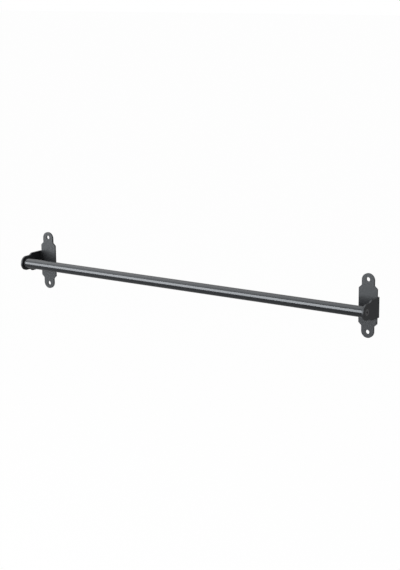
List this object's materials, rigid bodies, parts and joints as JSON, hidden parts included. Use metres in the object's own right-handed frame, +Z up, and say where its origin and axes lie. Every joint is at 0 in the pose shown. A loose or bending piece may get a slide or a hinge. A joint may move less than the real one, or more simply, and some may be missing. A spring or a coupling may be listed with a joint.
{
  "type": "kitchen utensil rail",
  "caption": "Straight round rail carried in front of the wall by folded sheet brackets with screw ears, for hanging utensils from open hooks.",
  "frame": {"origin": "on the wall plane, midway between the four wall screw holes", "axes": "+X along the rail to the right-hand end, +Y into the wall, +Z up"},
  "size_m": [0.6054, 0.047, 0.089],
  "materials": {
    "bracket_coat": "fine-grained satin charcoal powder coat on pressed steel sheet",
    "rail_coat": "smooth satin charcoal coat on drawn steel tube",
    "screw_black": "satin black coated steel",
    "plug_steel": "plain turned steel"
  },
  "bodies": {
    "root": {"left_bracket": "bracket_coat", "right_bracket": "bracket_coat", "rail_tube": "rail_coat", "left_end_plug": "plug_steel", "right_end_plug": "plug_steel", "left_rail_screw": "screw_black", "right_rail_screw": "screw_black"}
  },
  "joints": []
}
